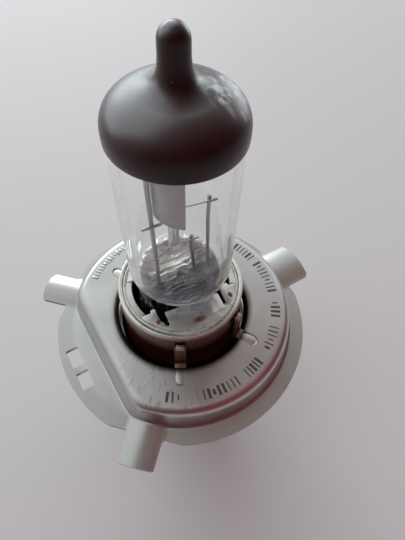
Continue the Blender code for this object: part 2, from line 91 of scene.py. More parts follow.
TAB_TOP, TAB_SHEET, TAB_FOOT = 9.7, 0.55, 12.4

MARK_RADIUS, MARK_HEIGHT, MARK_LIFT, MARK_STEP = 15.95, 1.6, 0.012, 2.7
MARK_GROUPS = ((24, 8), (2, -20), (-29, -38), (-46, -60), (-70, -80), (-87, -107), (-121, -127))
RAISED_RADIUS, RAISED_START, RAISED_STEP, RAISED_COUNT = 16.1, 98, 2.3, 15

SLEEVE_RADIUS = extent("sleeve")[1].x
SLEEVE_TOP, SLEEVE_BOTTOM = extent("sleeve")[1].z, extent("sleeve")[0].z
CUP_RADIUS = extent("holder_cup")[1].x
CUP_TOP = extent("holder_cup")[1].z
CLAMP_Z = extent("clamp_spring_front")[0].z
CLAMP_TURN, CLAMP_SHIFT, PLATE_SHEET = -7.0, 0.27, 0.3
PLATE_REACH, PLATE_SHOULDER, SEAT_REACH = 8.45, 3.3, 8.5

GLASS_RADIUS = extent("glass_envelope")[1].x
GLASS_TIP = extent("glass_envelope")[1].z
GLASS_BOTTOM, GLASS_SHOULDER = 13.25, 5.0
PAINTED_FLOOR_RING, PAINTED_FLOOR_FADE = 3.3, (4.75, 4.5)     # the painted light and shade on the glass floor fade out this far from a ring this wide
PRESS_BOTTOM = extent("glass_envelope")[0].z
DOME_BASE, DOME_HEIGHT, DOME_POWER = 40.7, 4.15, 2.35
WALL, FLOOR_CORNER, TROUGH = 1.1, 2.0, 14.5
FRONT_SLOPE, BACK_SLOPE, TROUGH_SOFTNESS = 0.10, 0.12, 0.2
COLLAR_HEIGHT, COLLAR_SPREAD = 0.5, 0.35
RING_HEIGHT, RING_STEP, RING_REACH = 0.18, 1.0, (4.2, 6.0)
RIDGE_HEIGHT, RIDGE_STEP, RIDGE_REACH = 0.26, 1.15, (0.6, 1.6)
COAT_EDGE = extent("top_coating")[0].z
COAT_TIP = extent("top_coating")[1].z
COAT_RADIUS = extent("top_coating")[1].x
COAT_GAP = 0.06
TIP_RADIUS = 1.28
PALE_STREAKS_AT = (4.8, -2.2, 61.0)                   # in the frame's own coordinates, for the material

COMMON_X, HIGH_X, LOW_X = (middle_x(f"{name}_post") for name in ("common", "high_beam", "low_beam"))
POST_FEET = (-3.55, HIGH_X + 0.5, LOW_X + 0.45)
POST_BOTTOM, POST_WIRE = 14.2, 0.3
COIL_X, COIL_RADIUS, COIL_WIRE, COIL_TURNS, COIL_SIDES = -0.85, 0.66, 0.08, 14, 14
HIGH_COIL, LOW_COIL = (22.2, 27.6), (29.8, 35.2)        # bottom and top
BAR_Y, TAIL_RADIUS = -0.5, 0.09
SHIELD_RADIUS, SHIELD_X, SHIELD_SHEET = 2.5, -0.75, 0.16
SHIELD_LOW, SHIELD_SLANT, SHIELD_TOP, SHIELD_DOME = 27.8, 1.5, 35.0, 2.2
FOIL_SHEET, FOIL_RIPPLE = 0.05, 0.03
WELD_SIDES = 24
LIGHT_DISTANCE = 0.6                        # metres


# ---------------------------------------------------------------- mesh helpers
def point(x, y, z):
    """A point in mm above the rim, in metres in the frame."""
    return Vector((x * MM, y * MM, z * MM + RIM_Z))


def polar(radius, degrees, z):
    angle = math.radians(degrees)
    return point(radius * math.cos(angle), radius * math.sin(angle), z)


def new_object(name, data):
    thing = bpy.data.objects.new(name, data)
    bpy.context.scene.collection.objects.link(thing)
    return thing


def add_piece(name, mesh, material, node, smooth=30):
    """A visible piece, in place of a CAD node where it has one.

    A mesh that already has its materials takes None. smooth is the sharpest angle, in degrees,
    that is shaded as a curve.
    """
    piece = new_object(name, mesh)
    if material:
        mesh.materials.append(material)
    mesh.shade_smooth()
    mesh.set_sharp_from_angle(angle=math.radians(smooth))
    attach(piece, "root")
    if node:
        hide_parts(node)
    return piece


def bare_mesh(piece):
    """The mesh of an object, without its materials. The object is removed."""
    mesh = piece.data
    bpy.data.objects.remove(piece)
    mesh.materials.clear()
    return mesh


def to_mesh(name, bm):
    mesh = bpy.data.meshes.new(name)
    bm.to_mesh(mesh)
    bm.free()
    return mesh


def outward_mesh(name, bm):
    bmesh.ops.recalc_face_normals(bm, faces=bm.faces)
    return to_mesh(name, bm)


def ring(bm, radius, z, segments):
    return [bm.verts.new(polar(radius, 360 * i / segments, z)) for i in range(segments)]


def bridge(bm, here, there, closed=True):
    """Faces between two rows of corners. A closed row may be a single corner."""
    count = max(len(here), len(there))
    for i in range(count if closed else count - 1):
        j = (i + 1) % count
        corners = (here[i % len(here)], here[j % len(here)],
                   there[j % len(there)], there[i % len(there)])
        bm.faces.new(tuple(dict.fromkeys(corners)))


def lathe(name, outline, segments=160):
    """A turned mesh from (radius, z) points. A radius of 0 closes the shape on the axis."""
    bm = bmesh.new()
    rings = []
    for radius, z in outline:
        if radius < 1e-6:
            rings.append([bm.verts.new(point(0, 0, z))])
        else:
            rings.append(ring(bm, radius, z, segments))
    if outline[0][0] > 1e-6 and outline[-1][0] > 1e-6:
        rings.append(rings[0])
    for upper, lower in zip(rings, rings[1:]):
        bridge(bm, upper, lower)
    return outward_mesh(name, bm)


def rounded(corners, radii, steps=5, closed=True):
    """A polyline with its corners rounded. radii is one number, or one for each corner."""
    count = len(corners)
    if not isinstance(radii, (list, tuple)):
        radii = [radii] * count
    result = []
    for i, corner in enumerate(corners):
        if radii[i] <= 0 or (not closed and i in (0, count - 1)):
            result.append(tuple(corner))
            continue
        here = Vector(corner)
        before = Vector(corners[i - 1]) - here
        after = Vector(corners[(i + 1) % count]) - here
        half = before.angle(after) / 2
        reach = min(radii[i] / math.tan(half), before.length * 0.49, after.length * 0.49)
        radius = reach * math.tan(half)
        inward = (before.normalized() + after.normalized()).normalized()
        middle = here + inward * radius / math.sin(half)
        start = here + before.normalized() * reach - middle
        end = here + after.normalized() * reach - middle
        sweep = start.angle_signed(end)
        for k in range(steps + 1):
            turn = -sweep * k / steps
            rotated = Vector((start.x * math.cos(turn) - start.y * math.sin(turn),
                              start.x * math.sin(turn) + start.y * math.cos(turn)))
            result.append(tuple(middle + rotated))
    return result


def arc(centre, radius, start, end, count):
    angles = [math.radians(start + (end - start) * i / count) for i in range(count + 1)]
    return [(centre[0] + radius * math.cos(a), centre[1] + radius * math.sin(a)) for a in angles]


def oblong(half_x, half_y):
    return [(-half_x, -half_y), (half_x, -half_y), (half_x, half_y), (-half_x, half_y)]


def obround(inner, outer, width, count=10):
    half = width / 2
    return (arc((outer - half, 0), half, -90, 90, count)
            + arc((inner + half, 0), half, 90, 270, count))


def extruded(name, outline, bottom, top, place=None, bevel=0.0, bevel_steps=2):
    """A flat outline, (x, y) in mm, raised from bottom to top, with its edges rounded."""
    bm = bmesh.new()
    face = bm.faces.new([bm.verts.new((x * MM, y * MM, bottom * MM)) for x, y in outline])
    raised = bmesh.ops.extrude_face_region(bm, geom=[face])["geom"]
    lifted = [part for part in raised if isinstance(part, bmesh.types.BMVert)]
    bmesh.ops.translate(bm, verts=lifted, vec=Vector((0, 0, (top - bottom) * MM)))
    bmesh.ops.recalc_face_normals(bm, faces=bm.faces)
    if bevel:
        rim = [edge for edge in bm.edges if abs(edge.verts[0].co.z - edge.verts[1].co.z) < 1e-7]
        bmesh.ops.bevel(bm, geom=rim, offset=bevel * MM, segments=bevel_steps, profile=0.5,
                        affect="EDGES")
    bmesh.ops.transform(bm, matrix=place or turned_place(0), verts=bm.verts)
    return outward_mesh(name, bm)


def turned_place(degrees):
    return Matrix.Rotation(math.radians(degrees), 4, "Z") @ Matrix.Translation((0, 0, RIM_Z))


def pipe(name, points, radius, sides):
    """A round wire through points in mm. radius is one number, or one for each point."""
    if not isinstance(radius, (list, tuple)):
        radius = [radius] * len(points)
    places = [point(*p) for p in points]
    turns = [2 * math.pi * k / sides for k in range(sides)]
    bm = bmesh.new()
    rings = []
    normal = None
    for i, place in enumerate(places):
        ahead = places[min(i + 1, len(places) - 1)] - places[max(i - 1, 0)]
        ahead.normalize()
        if normal is None:
            normal = ahead.orthogonal().normalized()
        normal = (normal - ahead * normal.dot(ahead)).normalized()
        side = ahead.cross(normal)
        rings.append([bm.verts.new(place + (normal * math.cos(turn) + side * math.sin(turn))
                                   * radius[i] * MM) for turn in turns])
    for here, there in zip(rings, rings[1:]):
        bridge(bm, here, there)
    bm.faces.new(rings[0][::-1])
    bm.faces.new(rings[-1])
    return outward_mesh(name, bm)


def smooth_path(points):
    """A Catmull-Rom curve through points in mm, with 8 steps from each to the next."""
    ends = [Vector(points[0]) * 2 - Vector(points[1])] + [Vector(p) for p in points]
    ends.append(Vector(points[-1]) * 2 - Vector(points[-2]))
    path = []
    for a, b, c, d in zip(ends, ends[1:], ends[2:], ends[3:]):
        for k in range(8):
            t = k / 8
            path.append(0.5 * (2 * b + (c - a) * t + (2 * a - 5 * b + 4 * c - d) * t * t
                               + (3 * b - a - 3 * c + d) * t ** 3))
    path.append(ends[-2])
    return [tuple(p) for p in path]


def carve(piece, mesh, operation="DIFFERENCE"):
    """Cut a closed mesh from a piece, join it, or keep only what they share.

    The exact solver sometimes turns these cuts inside out, so this uses the manifold one.
    """
    tool = new_object("tool", mesh)
    modifier = piece.modifiers.new("carve", "BOOLEAN")
    modifier.operation = operation
    modifier.solver = "MANIFOLD"
    modifier.object = tool
    bpy.context.view_layer.update()
    graph = bpy.context.evaluated_depsgraph_get()
    carved = bpy.data.meshes.new_from_object(piece.evaluated_get(graph))
    piece.modifiers.clear()
    old = piece.data
    piece.data = carved
    bpy.data.meshes.remove(old)
    bpy.data.objects.remove(tool)


def thicken(piece, thickness, offset=-1):
    solidify = piece.modifiers.new("sheet", "SOLIDIFY")
    solidify.thickness = thickness * MM
    solidify.offset = offset


def joined(meshes, name):
    """Several meshes as one, each with its own material slots."""
    bm = bmesh.new()
    materials = []
    for mesh in meshes:
        start = len(bm.faces)
        bm.from_mesh(mesh)
        bm.faces.ensure_lookup_table()
        offset = len(materials)
        for face in bm.faces[start:]:
            face.material_index += offset
        materials += list(mesh.materials) or [None]
    whole = to_mesh(name, bm)
    for material in materials:
        whole.materials.append(material)
    return whole


# ---------------------------------------------------------------- materials
def feed(tree, socket, value):
    """Link a socket to another, or set it to a constant."""
    if isinstance(value, bpy.types.NodeSocket):
        tree.links.new(value, socket)
    else:
        socket.default_value = value


def mix_colours(tree, factor, a, b):
    node = tree.nodes.new("ShaderNodeMix")
    node.data_type = "RGBA"
    feed(tree, node.inputs["Factor"], factor)
    for socket, value in ((node.inputs[6], a), (node.inputs[7], b)):
        feed(tree, socket, value if isinstance(value, bpy.types.NodeSocket) else (*value, 1))
    return node.outputs[2]


def toned(colour, factor):
    return tuple(channel * factor for channel in colour)


class Surface:
    """A Principled material and the nodes that feed it."""

    def __init__(self, name, colour, roughness, metallic=0.0):
        self.material = bpy.data.materials.new(name)
        self.material.use_nodes = True
        self.material.diffuse_color = (*colour, 1)
        self.tree = self.material.node_tree
        self.shader = self.tree.nodes["Principled BSDF"]
        self.set("Base Color", (*colour, 1))
        self.set("Roughness", roughness)
        self.set("Metallic", metallic)

    def set(self, socket, value):
        feed(self.tree, self.shader.inputs[socket], value)

    def node(self, kind, settings=None, **inputs):
        node = self.tree.nodes.new(kind)
        for key, value in (settings or {}).items():
            setattr(node, key, value)
        for key, value in inputs.items():
            feed(self.tree, node.inputs[key.replace("_", " ")], value)
        return node

    def pair(self, kind, operation, a, b):
        """A node with two unnamed inputs."""
        node = self.node(kind, {"operation": operation})
        feed(self.tree, node.inputs[0], a)
        feed(self.tree, node.inputs[1], b)
        return node

    def math(self, operation, a, b=0.0):
        return self.pair("ShaderNodeMath", operation, a, b).outputs["Value"]

    def times(self, a, b):
        return self.math("MULTIPLY", a, b)

    def place(self):
        """The point being shaded, in mm in the frame."""
        source = self.node("ShaderNodeTexCoord")
        scaled = self.node("ShaderNodeVectorMath", {"operation": "SCALE"},
                           Vector=source.outputs["Object"], Scale=1 / MM)
        return scaled.outputs["Vector"]

    def scaled(self, vector, x, y, z):
        return self.pair("ShaderNodeVectorMath", "MULTIPLY", vector, (x, y, z)).outputs["Vector"]

    def distance(self, vector, target):
        return self.pair("ShaderNodeVectorMath", "DISTANCE", vector, target).outputs["Value"]

    def noise(self, vector, scale, detail=3.0):
        node = self.node("ShaderNodeTexNoise", Vector=vector, Scale=scale, Detail=detail)
        return node.outputs["Fac"]

    def band(self, value, start, end, low=0.0, high=1.0):
        """low before start, high after end, and smooth between them."""
        node = self.node("ShaderNodeMapRange", {"interpolation_type": "SMOOTHSTEP"},
                         Value=value, From_Min=start, From_Max=end, To_Min=low, To_Max=high)
        return node.outputs["Result"]

    def mix(self, factor, a, b):
        return mix_colours(self.tree, factor, a, b)

    def fade(self, value, start, end, a, b):
        """Colour a before start, b after end, and smooth between them."""
        return self.mix(self.band(value, start, end), a, b)

    def parts(self, vector):
        node = self.node("ShaderNodeSeparateXYZ", Vector=vector)
        return node.outputs["X"], node.outputs["Y"], node.outputs["Z"]

    def around(self, vector):
        """(radius, angle in turns, z) about the bulb axis."""
        x, y, z = self.parts(vector)
        radius = self.math("SQRT", self.math("ADD", self.times(x, x), self.times(y, y)))
        angle = self.math("DIVIDE", self.math("ARCTAN2", y, x), 2 * math.pi)
        return radius, angle, z

    def combine(self, x, y, z):
        return self.node("ShaderNodeCombineXYZ", X=x, Y=y, Z=z).outputs["Vector"]

    def bump(self, height, distance):
        """distance is how far, in mm, a height of 1 stands out."""
        node = self.node("ShaderNodeBump", Height=height, Distance=distance * MM)
        self.set("Normal", node.outputs["Normal"])


def stainless():
    """Satin sheet: dull on the rim, brushed beside the flat, with painted shadow round the hub and
    painted shade on the rim's edge and underside and inside the boss.
    """
    tone = (0.60, 0.59, 0.575)
    s = Surface("satin_stainless", tone, 0.32, 1.0)
    place = s.place()
    radius, angle, z = s.around(place)
    x, y, _ = s.parts(place)
    brush = s.noise(s.combine(s.times(angle, 230.0), s.times(radius, 0.55), 0.0), 1.0, 2.0)
    cloud = s.noise(place, 0.16, 2.0)
    colour = s.fade(cloud, 0.3, 0.7, toned(tone, 0.94), toned(tone, 1.04))
    on_rim = s.times(s.band(radius, 18.4, 19.6), s.band(z, RIM + 2.5, RIM + 1.6))
    colour = s.mix(s.times(on_rim, s.band(cloud, 0.25, 0.75, 0.6, 1.0)), colour,
                   (0.49, 0.485, 0.46))
    plateau = s.band(z, RIM + BOSS_HEIGHT - 0.4, RIM + BOSS_HEIGHT - 0.05)
    by_flat = s.times(s.band(x, -3.0, -8.0), s.band(y, 1.0, -7.0))
    strokes = s.times(s.times(plateau, by_flat), s.band(brush, 0.52, 0.7))
    colour = s.mix(s.times(strokes, 0.6), colour, toned(tone, 0.5))
    # Painted shadow: a dark ring on the plateau round the hub, wider on the -Y side.
    hub_shadow_reach = s.times(s.band(radius, 12.4, 11.1), s.band(y, 7.0, -5.0))
    painted_hub_shadow = s.times(hub_shadow_reach, s.band(z, RIM + 2.0, RIM + 3.0))
    colour = s.mix(painted_hub_shadow, colour, (0.035, 0.013, 0.012))
    # Painted shade: the rim's edge and underside are painted darker.
    rim_edge_shade = s.times(s.band(z, RIM - 0.12, RIM - 0.3), s.band(radius, 19.0, 20.0))
    colour = s.mix(s.times(rim_edge_shade, 0.7), colour, (0.10, 0.09, 0.08))
    # Painted shade: inside the boss, below the rim, the sheet is painted dark.
    boss_hollow_shade = s.times(s.band(radius, 19.0, 18.4), s.band(z, RIM - 0.5, RIM - 0.8))
    s.set("Base Color", s.mix(boss_hollow_shade, colour, (0.05, 0.04, 0.04)))
    s.set("Roughness", s.band(cloud, 0.3, 0.7, 0.28, 0.35))
    s.bump(strokes, 0.004)
    return s.material


def plain_metal(name, tone, roughness, wave=0.0, metallic=1.0):
    """A smooth metal with faint clouds, and for pressed parts shallow waves."""
    s = Surface(name, tone, roughness, metallic)
    place = s.place()
    cloud = s.noise(place, 0.5, 2.0)
    s.set("Base Color", s.fade(cloud, 0.3, 0.7, toned(tone, 0.90), toned(tone, 1.05)))
    s.set("Roughness", s.band(cloud, 0.3, 0.7, roughness * 0.9, roughness * 1.12))
    if wave:
        s.bump(s.noise(place, 0.35, 1.0), wave)
    return s.material


def sleeve_nickel():
    """Bright warm nickel at the lip, browned by heat further down, with painted shade towards the
    foot and painted shade inside.
    """
    s = Surface("sleeve_nickel", (0.60, 0.53, 0.45), 0.27, 1.0)
    radius, angle, z = s.around(s.place())
    streak = s.noise(s.combine(s.times(angle, 40.0), radius, s.times(z, 0.15)), 1.0, 2.0)
    top = RIM + SLEEVE_TOP
    colour = s.fade(z, top - 0.25, top - 1.5, (0.82, 0.81, 0.72), (0.20, 0.115, 0.085))
    colour = s.mix(s.band(streak, 0.45, 0.75, 0.0, 0.35), colour, (0.36, 0.26, 0.20))
    # Painted shade: below the browned band the sleeve is painted near black towards its foot, down
    # into the gap at the hub.
    colour = s.fade(z, top - 1.8, top - 5.0, colour, (0.028, 0.008, 0.006))
    # Painted shade: the inside of the sleeve below the lip is painted near black.
    outside = s.band(radius, SLEEVE_RADIUS - 0.3, SLEEVE_RADIUS - 0.15)
    shown = s.math("MAXIMUM", outside, s.band(z, top - 1.2, top - 0.7))
    s.set("Base Color", s.mix(shown, (0.012, 0.016, 0.014), colour))
    # Where the painted shade is, the sleeve is not metallic, so it stays dark.
    s.set("Metallic", s.band(z, top - 4.4, top - 2.0))
    s.set("Specular IOR Level", 0.0)
    return s.material


def quartz():
    """Clear quartz. Where it was pinched shut, its floor has painted light and shade: dark
    blue-grey on one side and pinkish white on the other.
    """
    clear = (0.985, 1.0, 0.99)
    s = Surface("quartz_glass", clear, 0.0)
    s.set("IOR", 1.46)
    place = s.place()
    radius, _, z = s.around(place)
    y = s.parts(place)[1]
    across = s.math("POWER", s.math("SUBTRACT", radius, PAINTED_FLOOR_RING), 2.0)
    down = s.math("POWER", s.math("SUBTRACT", z, RIM + GLASS_BOTTOM + GLASS_SHOULDER), 2.0)
    near_ring = s.band(s.math("SQRT", s.math("ADD", across, down)), *PAINTED_FLOOR_FADE)
    floor = s.times(s.band(z, RIM + 16.2, RIM + 15.4), s.band(radius, 6.7, 6.2))
    floor = s.times(floor, near_ring)
    cloud = s.noise(s.scaled(place, 0.7, 1.6, 1.0), 0.8, 2.0)
    front = s.band(s.math("ADD", y, s.times(cloud, 1.2)), 0.75, 0.5)
    # Painted light and shade: the pinched floor is painted dark blue-grey at the front and pinkish
    # white at the back, and made partly opaque.
    painted_dark_floor = s.fade(cloud, 0.38, 0.60, (0.025, 0.045, 0.075), (0.11, 0.16, 0.22))
    painted_bright_floor = s.fade(cloud, 0.4, 0.6, (0.62, 0.55, 0.56), (0.98, 0.91, 0.91))
    s.set("Base Color", s.mix(floor, clear, s.mix(front, painted_bright_floor, painted_dark_floor)))
    cover = s.mix(front, (0.50, 0.50, 0.50), (0.42, 0.42, 0.42))
    s.set("Transmission Weight", s.math("SUBTRACT", 1.0, s.times(floor, cover)))
    ripple = s.noise(s.scaled(place, 0.8, 1.7, 1.0), 1.1, 1.5)
    s.bump(s.times(floor, ripple), 0.6)
    return s.material


def dark_coating():
    """Near-black coating: a broad sheen under a sharper one, dusty, with pale streaks on one side.
    """
    s = Surface("dark_coating", (0.012, 0.003, 0.003), 0.6)
    s.set("Specular IOR Level", 0.08)
    s.set("Coat Weight", 1.0)
    s.set("Coat Roughness", 0.34)
    s.set("Coat IOR", 1.33)
    place = s.place()
    # Pale streaks near one point on the dome.
    pale_streak_noise = s.noise(s.scaled(place, 1.5, 0.7, 0.5), 1.0)
    near = s.band(s.distance(place, PALE_STREAKS_AT), 4.2, 1.6)
    pale_streaks = s.times(near, s.band(pale_streak_noise, 0.47, 0.68))
    speck = s.band(s.noise(place, 1.7, 1.0), 0.80, 0.83)
    marks = s.math("MAXIMUM", pale_streaks, s.times(speck, 0.6))
    base = s.fade(s.noise(place, 0.35), 0.3, 0.7, (0.014, 0.001, 0.001), (0.020, 0.003, 0.003))
    s.set("Base Color", s.mix(s.times(marks, 0.6), base, (0.42, 0.43, 0.45)))
    s.set("Roughness", s.band(s.noise(place, 2.2), 0.3, 0.7, 0.55, 0.66))
    return s.material


def shell_steel():
    """The base can: satin steel outside, painted shade inside."""
    s = Surface("shell_steel", (0.62, 0.61, 0.59), 0.32, 1.0)
    place = s.place()
    radius = s.around(place)[0]
    cloud = s.noise(place, 0.3, 2.0)
    satin = s.fade(cloud, 0.3, 0.7, (0.56, 0.55, 0.53), (0.64, 0.63, 0.61))
    body = extent("base_shell")[1].x - 0.5
    # Painted shade: the inside of the can is painted near black.
    s.set("Base Color", s.fade(radius, body - 0.2, body - 0.1, (0.010, 0.012, 0.011), satin))
    s.set("Roughness", s.band(cloud, 0.3, 0.7, 0.28, 0.36))
    return s.material


def weld_brown():
    s = Surface("weld_brown", (0.22, 0.11, 0.08), 0.45, 0.7)
    fine = s.noise(s.place(), 3.0)
    s.set("Base Color", s.fade(fine, 0.35, 0.65, (0.13, 0.055, 0.045), (0.42, 0.26, 0.2)))
    s.bump(fine, 0.02)
    return s.material


def insulator_plastic():
    s = Surface("insulator_plastic", (0.05, 0.05, 0.055), 0.55)
    fine = s.noise(s.place(), 5.0, 4.0)
    s.set("Base Color", s.fade(fine, 0.35, 0.7, (0.04, 0.04, 0.045), (0.075, 0.075, 0.08)))
    s.set("Roughness", s.band(fine, 0.3, 0.7, 0.48, 0.66))
    s.bump(fine, 0.02)
    return s.material


STAINLESS = stainless()
CUP_STEEL = plain_metal("cup_steel", (0.85, 0.86, 0.80), 0.28, metallic=0.55)
CLAMP_STEEL = plain_metal("clamp_steel", (0.86, 0.87, 0.81), 0.28, wave=0.3, metallic=0.55)
SHELL_STEEL = shell_steel()
TAB_STEEL = plain_metal("tab_steel", (0.22, 0.13, 0.105), 0.35)
WELD_PALE = plain_metal("pale_weld", (0.50, 0.42, 0.36), 0.4)
NICKEL = sleeve_nickel()
QUARTZ = quartz()
COATING = dark_coating()
MOLYBDENUM = plain_metal("molybdenum", (0.50, 0.50, 0.50), 0.42)
SHIELD_METAL = plain_metal("shield_metal", (0.74, 0.75, 0.73), 0.55, metallic=0.3)
TUNGSTEN = plain_metal("tungsten", (0.55, 0.54, 0.54), 0.35)
TIN = plain_metal("tinned_brass", (0.72, 0.69, 0.62), 0.3)
WELD = weld_brown()
INSULATOR = insulator_plastic()


# ---------------------------------------------------------------- flange
def arch_height(x, y):
    """How far the sheet is arched up where it runs into a lug."""
    height = 0.0
    for degrees, width in LUGS:
        angle = math.radians(degrees)
        out = x * math.cos(angle) + y * math.sin(angle)
        across = abs(-x * math.sin(angle) + y * math.cos(angle)) / (width / 2)
        if out <= 0:
            continue
        if across < ARCH_SHOULDER:
            height += LUG_ARCH * (1 - across * across)
        elif across < ARCH_SHOULDER + ARCH_TAIL:
            eased = 1 - (across - ARCH_SHOULDER) / ARCH_TAIL
            height += LUG_ARCH * (1 - ARCH_SHOULDER ** 2) * eased ** 2
    return height


def flat_sided(angle, radius, flat):
    """The distance from the axis to a circle with one straight side, rounded where they meet."""
    toward = -math.cos(angle)
    straight = flat / toward if toward > 1e-6 else 1e9
    if straight >= 1e6:
        return radius
    return (radius ** FLAT_BLEND + straight ** FLAT_BLEND) ** (1 / FLAT_BLEND)


def flange_profile(foot, top):
    """(radius, z) from the hub's rolled lip, over the plateau and down the wall, to the rim."""
    rolled = HUB_HOLE + HUB_ROLL
    profile = []
    for degrees in range(70, 0, -14):
        a = math.radians(degrees)
        profile.append((rolled - HUB_ROLL * math.sin(a),
                        BOSS_HEIGHT - HUB_ROLL * (1 - math.cos(a))))
    profile += [(rolled + (top - 1.9 - rolled) * k / 5, BOSS_HEIGHT) for k in range(6)]
    corners = [(HUB_HOLE - 0.6, BOSS_HEIGHT), (top, BOSS_HEIGHT), (foot, 0.0), (SHEET_REACH, 0.0)]
    profile += rounded(corners, [0, SHOULDER_ROUND, FOOT_ROUND, 0], steps=9, closed=False)[1:-1]
    start = profile[-1][0]
    profile += [(start + (SHEET_REACH - start) * k / 14, 0.0) for k in range(1, 15)]
    return profile


def flange_sheet():
    """The pressed sheet, from the hub to beyond the rim, as one surface without thickness."""
    columns = 480
    bm = bmesh.new()
    rows = []
    for c in range(columns):
        angle = 2 * math.pi * c / columns
        foot = flat_sided(angle, BOSS_RADIUS, BOSS_FLAT)
        top = flat_sided(angle, BOSS_TOP_RADIUS, BOSS_FLAT_TOP)
        row = []
        for radius, z in flange_profile(foot, top):
            x, y = radius * math.cos(angle), radius * math.sin(angle)
            z += arch_height(x, y) * max(0.0, 1 - z / 2.2) * (1 if radius > 12 else 0)
            row.append(bm.verts.new(point(x, y, z)))
        rows.append(row)
    for here, there in zip(rows, rows[1:] + rows[:1]):
        bridge(bm, here, there, closed=False)
    bmesh.ops.recalc_face_normals(bm, faces=bm.faces)
    if sum(face.normal.z for face in bm.faces) < 0:
        bmesh.ops.reverse_faces(bm, faces=bm.faces)
    return to_mesh("flange", bm)


def flange_outline():
    """The outer edge of the sheet in plan: rim, straight trims and the three lugs."""
    points = []
    trim = math.degrees(math.acos(TRIM_FLAT / RIM_RADIUS))
    trim_y = RIM_RADIUS * math.sin(math.radians(trim))
    end = LUG_END - LUG_END_BULGE
    lugs = sorted(LUGS, key=lambda lug: lug[0] % 360)
    for i, (degrees, width) in enumerate(lugs):
        half = width / 2
        local = [(TRIM_FLAT, -trim_y), (TRIM_FLAT, -half), (end, -half)]
        for k in range(1, 8):
            across = 2 * k / 8 - 1
            local.append((end + LUG_END_BULGE * (1 - across ** 2), half * across))
        local += [(end, half), (TRIM_FLAT, half), (TRIM_FLAT, trim_y)]
        radii = [0, 0.5, 0.35] + [0] * 7 + [0.35, 0.5, 0]
        local = rounded(local, radii, steps=4, closed=False)
        cos, sin = math.cos(math.radians(degrees)), math.sin(math.radians(degrees))
        points += [(x * cos - y * sin, x * sin + y * cos) for x, y in local]
        following = lugs[(i + 1) % len(lugs)][0] % 360
        start = degrees % 360 + trim
        stop = (following if following > degrees % 360 else following + 360) - trim
        points += arc((0, 0), RIM_RADIUS, start + 0.7, stop - 0.7, 60)
    return points


def make_flange():
    """The sheet trimmed to its outline, with its slots, its windows and the welded tabs."""
    sheet = new_object("flange", flange_sheet())
    thicken(sheet, SHEET)
    carve(sheet, extruded("outline", flange_outline(), -3, 8), "INTERSECT")
    slot = obround(SLOT_INNER, SLOT_OUTER, SLOT_WIDTH)
    cuts = [extruded("slot", slot, 2, 8, turned_place(angle)) for angle in SLOT_ANGLES]
    left, right = WINDOW_X
    for low, high in WINDOW_Y:
        window = rounded([(left, low), (right, low), (right, high), (left, high)], 0.2, 3)
        cuts.append(extruded("window", window, -3, 2))
    carve(sheet, joined(cuts, "cuts"))
    mesh = bare_mesh(sheet)
    mesh.materials.append(STAINLESS)
    whole = joined([mesh] + [weld_tab(angle) for angle in SLOT_ANGLES], "flange")
    flange = add_piece("flange", whole, None, "flange_ring", smooth=35)


def weld_tab(angle):
    """A tab bent up against the sleeve, its weld, and its foot, which lies in the slot."""
    half = SLOT_WIDTH / 2
    inner = SLEEVE_RADIUS + 0.25
    outer, bend = inner + TAB_SHEET, SLOT_INNER + 0.3
    corners = [(inner, TAB_TOP), (outer, TAB_TOP), (outer, BOSS_HEIGHT + 0.1),
               (bend, BOSS_HEIGHT + 0.02), (bend, BOSS_HEIGHT - 0.6), (inner, BOSS_HEIGHT - 0.6)]
    side = rounded(corners, [0.12, 0.2, 0.45, 0, 0, 0.5], steps=4)
    place = turned_place(angle)
    upright = Matrix(((1, 0, 0, 0), (0, 0, -1, 0), (0, 1, 0, 0), (0, 0, 0, 1)))
    tab = extruded("tab", side, -half, half, place @ upright, bevel=0.08)
    tab.materials.append(TAB_STEEL)
    aside = Matrix.Translation((inner * MM + 0.3 * MM, 0, TAB_TOP * MM))
    weld = extruded("tab_weld", oblong(0.45, 0.62), -0.3, 0.28, place @ aside, bevel=0.22)
    weld.materials.append(WELD_PALE)
    tilt = Matrix.Translation((TAB_FOOT * MM, 0, 0)) @ Matrix.Rotation(math.radians(-3), 4, "Y")
    outline = obround(SLOT_INNER - 0.6 - TAB_FOOT, SLOT_OUTER - 0.12 - TAB_FOOT, SLOT_WIDTH - 0.2)
    foot = extruded("tab_foot", outline, BOSS_HEIGHT - 0.6, BOSS_HEIGHT - 0.2, place @ tilt,
                    bevel=0.08)
    foot.materials.append(STAINLESS)
    return joined([tab, weld, foot], "tab")


